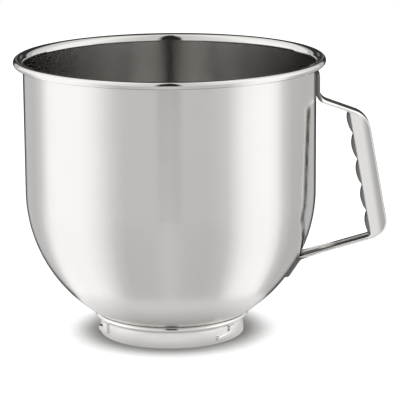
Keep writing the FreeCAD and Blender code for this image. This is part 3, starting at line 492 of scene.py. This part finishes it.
@dataclass(frozen=True)
class ChannelFinish(SteelFinish):
    """The handle's steel: pale side flanges as painted light, with painted shade darkening the web,
    the outer bend and the tabs.

    Attributes:
        web: The colour between the flanges, darkened as painted shade.
        web_half: Half the web's width in metres.
        fold_half: Distance in metres from the handle's middle at which the flange's colour is full.
        fold_lean: Metres that the grip leans in per metre of height.
        fold_near: Where the outer bend's painted shade starts, in metres from the axis at height 0.
        fold_far: Where that shade is full.
        painted_fold_shade: The level of that shade.
        tab_near: Distance in metres from the axis within which a tab is darkened with painted shade.
        tab_far: Distance in metres from the axis beyond which it isn't.
        painted_tab_shade: The level of a tab.
        strap_middle: Height in metres halfway between the tabs.
        strap_reach: Height in metres from there to each tab.
    """

    # Painted shade: the web is darker than the flanges' same steel.
    web: Colour = (0.62, 0.612, 0.60)
    web_half: float = 0.0066
    fold_half: float = 0.0074
    fold_lean: float = 0.163
    fold_near: float = 0.1615
    fold_far: float = 0.1665
    # Painted shade of the outer bend.
    painted_fold_shade: float = 0.56
    tab_near: float = 0.1075
    tab_far: float = 0.1105
    # Painted shade of the tabs.
    painted_tab_shade: float = 0.16
    strap_middle: float = 0.104
    strap_reach: float = 0.0485

    def steel(self, kit: NodeKit, coords: bpy.types.NodeSocket) -> bpy.types.NodeSocket:
        """Painted shade: darker steel between the flanges, on the outer bend and on the tabs.

        Args:
            kit: The material's nodes.
            coords: Object coordinates in metres.

        Returns:
            The plain colour's socket.
        """
        out, across, height = kit.parts(coords)
        # Painted shade: the web between the flanges, the outer bend and the tabs are darkened.
        side = kit.step(kit.math("ABSOLUTE", across), self.web_half, self.fold_half)
        leant = kit.math("ADD", out, kit.math("MULTIPLY", height, self.fold_lean))
        fold = kit.step(leant, self.fold_near, self.fold_far)
        tab = kit.step(out, self.tab_near, self.tab_far)
        level = kit.math("ABSOLUTE", kit.math("SUBTRACT", height, self.strap_middle))
        between = kit.math("LESS_THAN", level, self.strap_reach)
        clear = kit.math("MAXIMUM", tab, between)
        tone = kit.math("MULTIPLY", kit.blend(fold, 1.0, self.painted_fold_shade),
                        kit.blend(clear, self.painted_tab_shade, 1.0))
        shade = kit.add("ShaderNodeVectorMath", operation="SCALE")
        kit.feed(shade.inputs[0], kit.tones(side, solid(self.web), solid(self.colour)))
        kit.feed(shade.inputs["Scale"], tone)
        return shade.outputs[0]


@dataclass(frozen=True)
class Photographer:
    """The camera, placed so that the bowl stands in the frame as photographed.

    Attributes:
        distance: Metres from the point looked at.
        elevation: Degrees above the horizontal.
        azimuth: Degrees round from the front, towards the handle.
        aim: Height in metres on the bowl's axis of the point looked at.
        focal: Focal length in pixels.
        centre: The pixel where that point shows.
        roll: Degrees that the camera is rolled.
        frame: Pixels across the picture.
        sensor: Millimetres across the sensor.
    """

    distance: float = 1.5822
    elevation: float = 12.59
    azimuth: float = 1.0
    aim: float = 0.10788
    focal: float = 2182.4
    centre: tuple[float, float] = (170.8, 184.85)
    roll: float = 0.552
    frame: int = 400
    sensor: float = 36.0

    def place(self) -> None:
        """Create the camera and make it the scene's camera."""
        turn, rise = math.radians(self.azimuth), math.radians(self.elevation)
        out = Vector((math.sin(turn) * math.cos(rise), -math.cos(turn) * math.cos(rise),
                      math.sin(rise)))
        right = Vector((math.cos(turn), math.sin(turn), 0.0))
        up = out.cross(right)
        spin = math.radians(self.roll)
        side = right * math.cos(spin) - up * math.sin(spin)
        top = right * math.sin(spin) + up * math.cos(spin)
        axes = Matrix((side, top, out)).transposed()
        half = self.frame / 2
        pan = math.atan((self.centre[0] - half) / self.focal)
        tilt = -math.atan((half - self.centre[1]) / self.focal)
        axes = axes @ Matrix.Rotation(pan, 3, "Y") @ Matrix.Rotation(tilt, 3, "X")
        data = bpy.data.cameras.new("camera")
        data.sensor_width = self.sensor
        data.lens = self.focal * self.sensor / self.frame
        camera = bpy.data.objects.new("camera", data)
        place = Vector((0.0, 0.0, self.aim)) + out * self.distance
        camera.matrix_world = Matrix.Translation(place) @ axes.to_4x4()
        bpy.context.scene.collection.objects.link(camera)
        bpy.context.scene.camera = camera


@dataclass(frozen=True)
class Studio:
    """A white table in a light tent, with a dark doorway behind it.

    Angles round the table are in degrees, with 0 on the camera's side and 90 on the handle's.
    Angles of height are in degrees above the horizontal.

    Attributes:
        tent_colour: The tent's slightly warm white.
        meeting: Direction on which the lower panels' edges meet: the way the camera looks.
        doorway: The doorway's level.
        doorway_side: How far round it reaches, the same on both sides.
        doorway_foot: The height at which it starts.
        board: Level of a small grey board that stands in the doorway.
        board_side: How far round the board reaches.
        board_rise: The heights between which it stands.
        low: Levels of the lower panels round the table, as the bowl's front reflects them.
        high: Levels of the upper panels round the table.
        skyline: The height round the table at which the upper panels take over.
        skyline_blur: Degrees of height over which they do.
        rise: How the tent's level changes with height.
        table_radius: The table's radius in metres.
        table_sides: Sides of the table's outline.
        table_colour: The table's colour where the tent lights it.
        glow: Strength of the table's own light to the eye.
        shade_reach: Metres within which the object casts the painted shadow on the table.
        shade_samples: Rays that look for that shade.
        shade: How much of the glow is left under the painted shadow, by how open the place is.
        pool_shade: How strongly the painted shadow darkens the painted pools in reflections.
        mirror_near: Metres from the axis up to which reflections see the table.
        mirror_far: Metres from the axis beyond which they see the tent.
        painted_pools_round_foot: The levels that reflections see on the table round the foot.
    """

    tent_colour: Colour = (1.0, 0.998, 0.992)
    meeting: Triple = (-0.017, 0.976, -0.218)
    doorway: float = 0.04
    doorway_side: Stops = ((156, 0.0), (162, 1.0))
    doorway_foot: Stops = ((-32, 0.0), (-27, 1.0))
    board: float = 0.22
    board_side: Stops = ((169, 0.0), (171, 1.0), (175, 1.0), (177, 0.0))
    board_rise: Stops = ((5, 0.0), (8, 1.0), (12, 1.0), (15, 0.0))
    low: Stops = (
        (-180, 0.04), (-165, 0.04), (-158, 0.66), (-133, 0.68), (-121, 0.84), (-108, 1.38),
        (-97, 1.46), (-72, 1.46), (-60, 1.32), (-50, 1.06), (-42, 0.86), (-34, 0.75),
        (-14, 0.77), (0, 0.86), (14, 0.77), (30, 0.74), (40, 0.79), (47, 0.86), (54, 1.12),
        (61, 1.34), (70, 1.44), (84, 1.48), (93, 1.32), (102, 0.86), (112, 0.68), (140, 0.64),
        (158, 0.64), (165, 0.04), (180, 0.04))
    high: Stops = (
        (-180, 1.30), (-165, 1.30), (-150, 1.20), (-126, 1.25), (-108, 1.45), (-70, 1.46),
        (-48, 1.18), (-24, 1.00), (-11, 0.92), (-7, 0.03), (7, 0.03), (11, 0.90),
        (24, 0.92), (48, 1.16), (70, 1.46), (100, 1.44), (112, 1.28), (134, 0.98),
        (160, 1.00), (172, 1.30), (180, 1.30))
    skyline: Stops = (
        (-180, 72), (-158, 72), (-142, -2), (142, -2), (158, 72), (180, 72))
    skyline_blur: float = 12.0
    rise: Stops = ((-90, 0.95), (-30, 0.97), (0, 1.0), (30, 1.0), (60, 0.95), (90, 0.9))
    table_radius: float = 1.6
    table_sides: int = 96
    table_colour: Colour = (0.26, 0.257, 0.253)
    glow: float = 1.0
    shade_reach: float = 0.045
    shade_samples: int = 16
    shade: Stops = ((0.28, 0.0), (0.36, 0.20), (0.42, 0.46), (0.50, 0.74), (0.66, 1.0))
    pool_shade: float = 0.45
    mirror_near: float = 0.080
    mirror_far: float = 0.095
    # Painted pools of light round the foot, which only reflections see on the table.
    painted_pools_round_foot: Stops = (
        (-180, 0.03), (-120, 0.03), (-108, 0.70), (-95, 0.96), (-60, 0.96), (-34, 0.76),
        (34, 0.76), (60, 0.92), (84, 0.96), (98, 0.80), (108, 0.55), (120, 0.03),
        (180, 0.03))

    def light(self) -> None:
        """Set the world: white to the eye, a light tent to everything else."""
        world = bpy.data.worlds.new("light_tent")
        bpy.context.scene.world = world
        world.use_nodes = True
        kit = NodeKit(world.node_tree)
        out = kit.add("ShaderNodeOutputWorld")
        way = kit.add("ShaderNodeTexCoord").outputs["Generated"]
        tent = kit.add("ShaderNodeBackground")
        kit.feed(tent.inputs["Strength"], self.tent(kit, way))
        tent.inputs["Color"].default_value = solid(self.tent_colour)
        white = kit.add("ShaderNodeBackground")
        white.inputs["Color"].default_value = solid(WHITE)
        path = kit.add("ShaderNodeLightPath")
        mix = kit.add("ShaderNodeMixShader")
        kit.feed(mix.inputs[0], path.outputs["Is Camera Ray"])
        kit.feed(mix.inputs[1], tent.outputs[0])
        kit.feed(mix.inputs[2], white.outputs[0])
        kit.feed(out.inputs["Surface"], mix.outputs[0])

    def tent(self, kit: NodeKit, way: bpy.types.NodeSocket) -> bpy.types.NodeSocket:
        """Put the tent's lower and upper panels together.

        Args:
            kit: The world's nodes.
            way: The direction looked in.

        Returns:
            The tent's level in that direction.
        """
        angle = kit.bearing(way)
        around = kit.math("ADD", kit.math("DIVIDE", angle, math.tau), MIDDLE)
        aside = kit.math("DIVIDE", kit.math("ABSOLUTE", angle), math.pi)
        _, _, sine = kit.parts(way)
        height = kit.math("ARCSINE", sine)
        upward = kit.math("ADD", kit.math("DIVIDE", height, math.pi), MIDDLE)
        lower = self.panels(kit, self.leaning(kit, way), self.low)
        lower = self.darkened(kit, lower, aside, upward)
        upper = self.panels(kit, around, self.high)
        heights = [(place, rise / HALF_TURN + MIDDLE)
                   for place, rise in dial(self.skyline, FULL_TURN)]
        line = kit.ramp(around, heights, smooth=False)
        blur = self.skyline_blur / HALF_TURN
        above = kit.math("DIVIDE", kit.math("SUBTRACT", upward, line), blur)
        above = kit.math("ADD", above, MIDDLE, clamp=True)
        fall = kit.ramp(upward, dial(self.rise, HALF_TURN))
        return kit.math("MULTIPLY", kit.blend(above, lower, upper), fall)

    def darkened(self, kit: NodeKit, lower: bpy.types.NodeSocket, aside: bpy.types.NodeSocket,
                 upward: bpy.types.NodeSocket) -> bpy.types.NodeSocket:
        """Cut the doorway into the lower panels and stand the grey board in it.

        Args:
            kit: The world's nodes.
            lower: The lower panels' level.
            aside: The way round to either side, from 0 at the camera to 1 behind the table.
            upward: The height, from 0 straight down to 1 straight up.

        Returns:
            The level with the doorway.
        """
        board_side = kit.ramp(aside, dial(self.board_side, HALF_TURN, zero=0.0))
        board_rise = kit.ramp(upward, dial(self.board_rise, HALF_TURN))
        board = kit.math("MULTIPLY", board_side, board_rise)
        dark = kit.blend(board, self.doorway, self.board)
        side = kit.ramp(aside, dial(self.doorway_side, HALF_TURN, zero=0.0))
        foot = kit.ramp(upward, dial(self.doorway_foot, HALF_TURN))
        return kit.blend(kit.math("MULTIPLY", side, foot), lower, dark)

    def leaning(self, kit: NodeKit, way: bpy.types.NodeSocket) -> bpy.types.NodeSocket:
        """Find the way round for the lower panels, whose edges meet in one direction.

        Half a turn about that direction covers the panels' whole turn, because a reflection
        turns twice as fast as the surface does.

        Args:
            kit: The world's nodes.
            way: The direction looked in.

        Returns:
            The way round, from 0 to 1.
        """
        lean = kit.add("ShaderNodeVectorMath", operation="SUBTRACT")
        kit.feed(lean.inputs[0], way)
        lean.inputs[1].default_value = self.meeting
        angle = kit.bearing(lean.outputs[0])
        return kit.math("ADD", kit.math("DIVIDE", angle, math.pi), MIDDLE, clamp=True)

    def panels(self, kit: NodeKit, around: bpy.types.NodeSocket,
               levels: Stops) -> bpy.types.NodeSocket:
        """Spread levels around the table.

        Args:
            kit: The world's or the table's nodes.
            around: The way round, from 0 to 1, with the camera's side in the middle.
            levels: Angles in degrees with their levels.

        Returns:
            The level's socket.
        """
        scaled = [(place, level / PANEL_SCALE) for place, level in dial(levels, FULL_TURN)]
        return kit.math("MULTIPLY", kit.ramp(around, scaled, smooth=False), PANEL_SCALE)

    def table(self) -> None:
        """Make the white table top that the bowl stands on."""
        mesh = bpy.data.meshes.new("table")
        form = bmesh.new()
        bmesh.ops.create_circle(form, cap_ends=True, segments=self.table_sides,
                                radius=self.table_radius)
        form.to_mesh(mesh)
        form.free()
        table = bpy.data.objects.new("table", mesh)
        bpy.context.scene.collection.objects.link(table)
        mesh.materials.append(self.table_top())

    def table_top(self) -> bpy.types.Material:
        """Build the table's white, which keeps the shadow: real from the tent's light, and painted
        from an Ambient Occlusion node.

        Returns:
            The new material.
        """
        material = bpy.data.materials.new("white_table")
        material.use_nodes = True
        kit = NodeKit(material.node_tree)
        out = kit.add("ShaderNodeOutputMaterial")
        path = kit.add("ShaderNodeLightPath")
        place = kit.add("ShaderNodeTexCoord").outputs["Object"]
        lit = kit.add("ShaderNodeBsdfDiffuse")
        lit.inputs["Color"].default_value = solid(self.table_colour)
        glow = kit.add("ShaderNodeEmission")
        kit.feed(glow.inputs["Strength"], self.shine(kit, path, place))
        both = kit.add("ShaderNodeAddShader")
        kit.feed(both.inputs[0], lit.outputs[0])
        kit.feed(both.inputs[1], glow.outputs[0])
        top = kit.add("ShaderNodeMixShader")
        kit.feed(top.inputs[0], self.passing(kit, path, place))
        kit.feed(top.inputs[1], both.outputs[0])
        kit.feed(top.inputs[2], kit.add("ShaderNodeBsdfTransparent").outputs[0])
        kit.feed(out.inputs["Surface"], top.outputs[0])
        return material

    def shine(self, kit: NodeKit, path: bpy.types.Node,
              place: bpy.types.NodeSocket) -> bpy.types.NodeSocket:
        """The table's own level: a white with a painted shadow to the eye, painted pools of light
        round the foot to reflections.

        Args:
            kit: The table's nodes.
            path: The Light Path node.
            place: Object coordinates in metres.

        Returns:
            The level's socket.
        """
        seen = kit.math("MAXIMUM", path.outputs["Is Camera Ray"], path.outputs["Is Glossy Ray"])
        seen = kit.math("MAXIMUM", seen, path.outputs["Is Transmission Ray"])
        # Painted shadow: an Ambient Occlusion node darkens the table's glow round the object.
        shade = kit.add("ShaderNodeAmbientOcclusion", samples=self.shade_samples)
        shade.inputs["Distance"].default_value = self.shade_reach
        open_part = kit.ramp(shade.outputs["AO"], list(self.shade), smooth=False)
        hidden = kit.math("SUBTRACT", 1.0, open_part)
        dim = kit.math("SUBTRACT", 1.0, kit.math("MULTIPLY", hidden, self.pool_shade))
        # Painted pools of light on the table round the foot, darkened by the painted shadow.
        around = kit.math("ADD", kit.math("DIVIDE", kit.bearing(place), math.tau), MIDDLE)
        painted_pool = kit.math("MULTIPLY", self.panels(kit, around, self.painted_pools_round_foot), dim)
        plain = kit.math("MULTIPLY", kit.math("MULTIPLY", seen, self.glow), open_part)
        # Reflections see the painted pools of light round the foot in place of the plain white.
        return kit.blend(path.outputs["Is Glossy Ray"], plain, painted_pool)

    def passing(self, kit: NodeKit, path: bpy.types.Node,
                place: bpy.types.NodeSocket) -> bpy.types.NodeSocket:
        """Tell where reflections pass the table and see the tent.

        Args:
            kit: The table's nodes.
            path: The Light Path node.
            place: Object coordinates in metres.

        Returns:
            One for a reflection far from the axis, and zero near it or for other rays.
        """
        span = kit.add("ShaderNodeVectorMath", operation="LENGTH")
        kit.feed(span.inputs[0], place)
        far = kit.step(span.outputs["Value"], self.mirror_near, self.mirror_far)
        return kit.math("MULTIPLY", far, path.outputs["Is Glossy Ray"])


@dataclass(frozen=True)
class BowlShell:
    """The bowl and its foot ring.

    Attributes:
        shell: The bowl's finish.
        foot: The foot ring's finish.
    """

    shell: BowlFinish = field(default_factory=lambda: BowlFinish(
        "bowl_steel_satin", (0.66, 0.643, 0.63), Polish.SATIN, line_depth=0.003,
        brushing=0.95))
    # Painted light: the ring's steel is paler than the bowl's same steel, standing in for the bright
    # table it reflects.
    foot: SteelFinish = field(default_factory=lambda: SteelFinish(
        "ring_steel_polished", (0.76, 0.744, 0.73), Polish.BRIGHT))

    def dress(self, nodes: dict[str, bpy.types.Object]) -> None:
        """Give the bowl and the ring their steel.

        Args:
            nodes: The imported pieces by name.
        """
        coat(nodes["bowl"], self.shell.material())
        coat(nodes["base_ring"], self.foot.material())
        log.info("bowl and foot ring dressed")


@dataclass(frozen=True)
class GripChannel:
    """The handle and its finger strip.

    Attributes:
        channel: The handle's finish.
        strip: The finger strip's finish.
    """

    # Painted light: the handle's steel is much paler than the bowl's same steel.
    channel: ChannelFinish = field(default_factory=lambda: ChannelFinish(
        "handle_steel_polished", (0.90, 0.888, 0.874), Polish.BRIGHT,
        line_scale=(900.0, 2600.0, 60.0)))
    # Painted shade: the finger strip's steel is made very dark for its shade and dark reflection
    # inside the handle's channel.
    strip: SteelFinish = field(default_factory=lambda: SteelFinish(
        "grip_steel_painted_shade", (0.21, 0.206, 0.202), Polish.BRIGHT,
        line_scale=(900.0, 200.0, 900.0)))

    def dress(self, nodes: dict[str, bpy.types.Object]) -> None:
        """Give the handle and the strip their steel.

        Args:
            nodes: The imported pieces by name.
        """
        coat(nodes["handle"], self.channel.material())
        coat(nodes["finger_grip"], self.strip.material())
        log.info("handle and finger strip dressed")


def coat(piece: bpy.types.Object, material: bpy.types.Material) -> None:
    """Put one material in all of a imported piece's slots.

    Args:
        piece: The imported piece.
        material: Its new material.
    """
    for slot in piece.material_slots:
        slot.material = material


def main() -> None:
    """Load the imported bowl, dress it, light it and aim the camera."""
    logging.basicConfig(level=logging.INFO)
    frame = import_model()
    scene = bpy.context.scene
    scene.view_settings.view_transform = "Standard"
    scene.cycles.glossy_bounces = GLOSSY_BOUNCES
    Photographer().place()
    studio = Studio()
    studio.light()
    studio.table()
    BowlShell().dress(frame["nodes"])
    GripChannel().dress(frame["nodes"])


if __name__ == "__main__":
    main()
